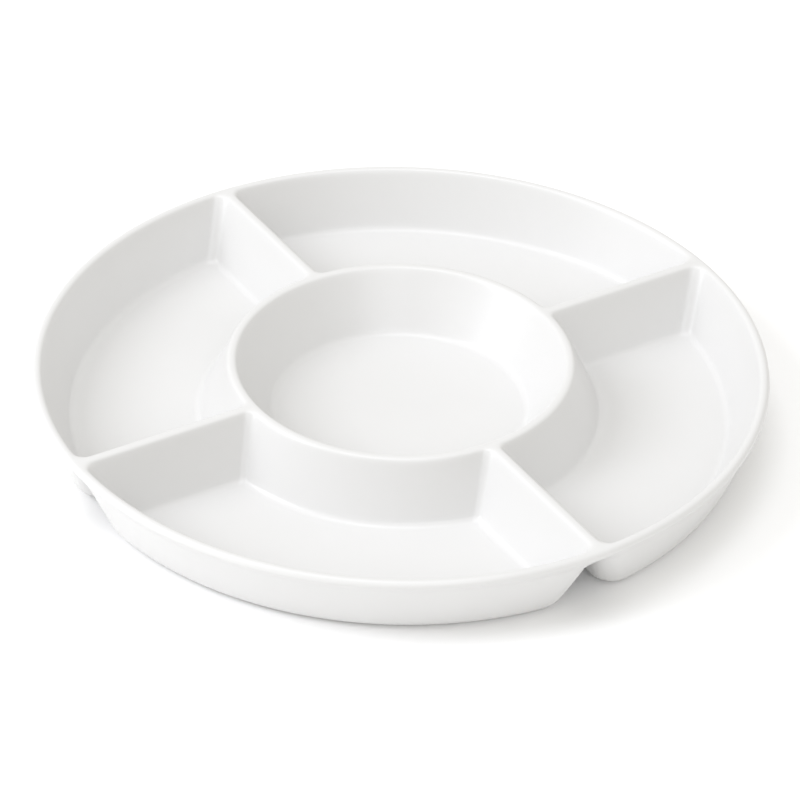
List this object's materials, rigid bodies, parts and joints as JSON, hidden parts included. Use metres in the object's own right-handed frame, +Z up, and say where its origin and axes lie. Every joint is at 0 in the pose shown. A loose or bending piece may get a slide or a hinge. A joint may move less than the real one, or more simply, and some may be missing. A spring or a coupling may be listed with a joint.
{
  "type": "chip and dip server",
  "caption": "Round white serving tray with a round dip bowl in the middle and curved compartments around it, all in one drafted, hollow-walled moulding.",
  "frame": {"origin": "on the table under the middle of the dip bowl", "axes": "+Z up along the tray's middle axis; -Y towards the front compartment, +X towards the right compartment"},
  "size_m": [0.33, 0.33, 0.034],
  "materials": {
    "white_melamine": "smooth, glossy white melamine"
  },
  "bodies": {
    "root": {"centre_dip_bowl": "white_melamine", "right_compartment": "white_melamine", "back_compartment": "white_melamine", "left_compartment": "white_melamine", "front_compartment": "white_melamine"}
  },
  "joints": []
}
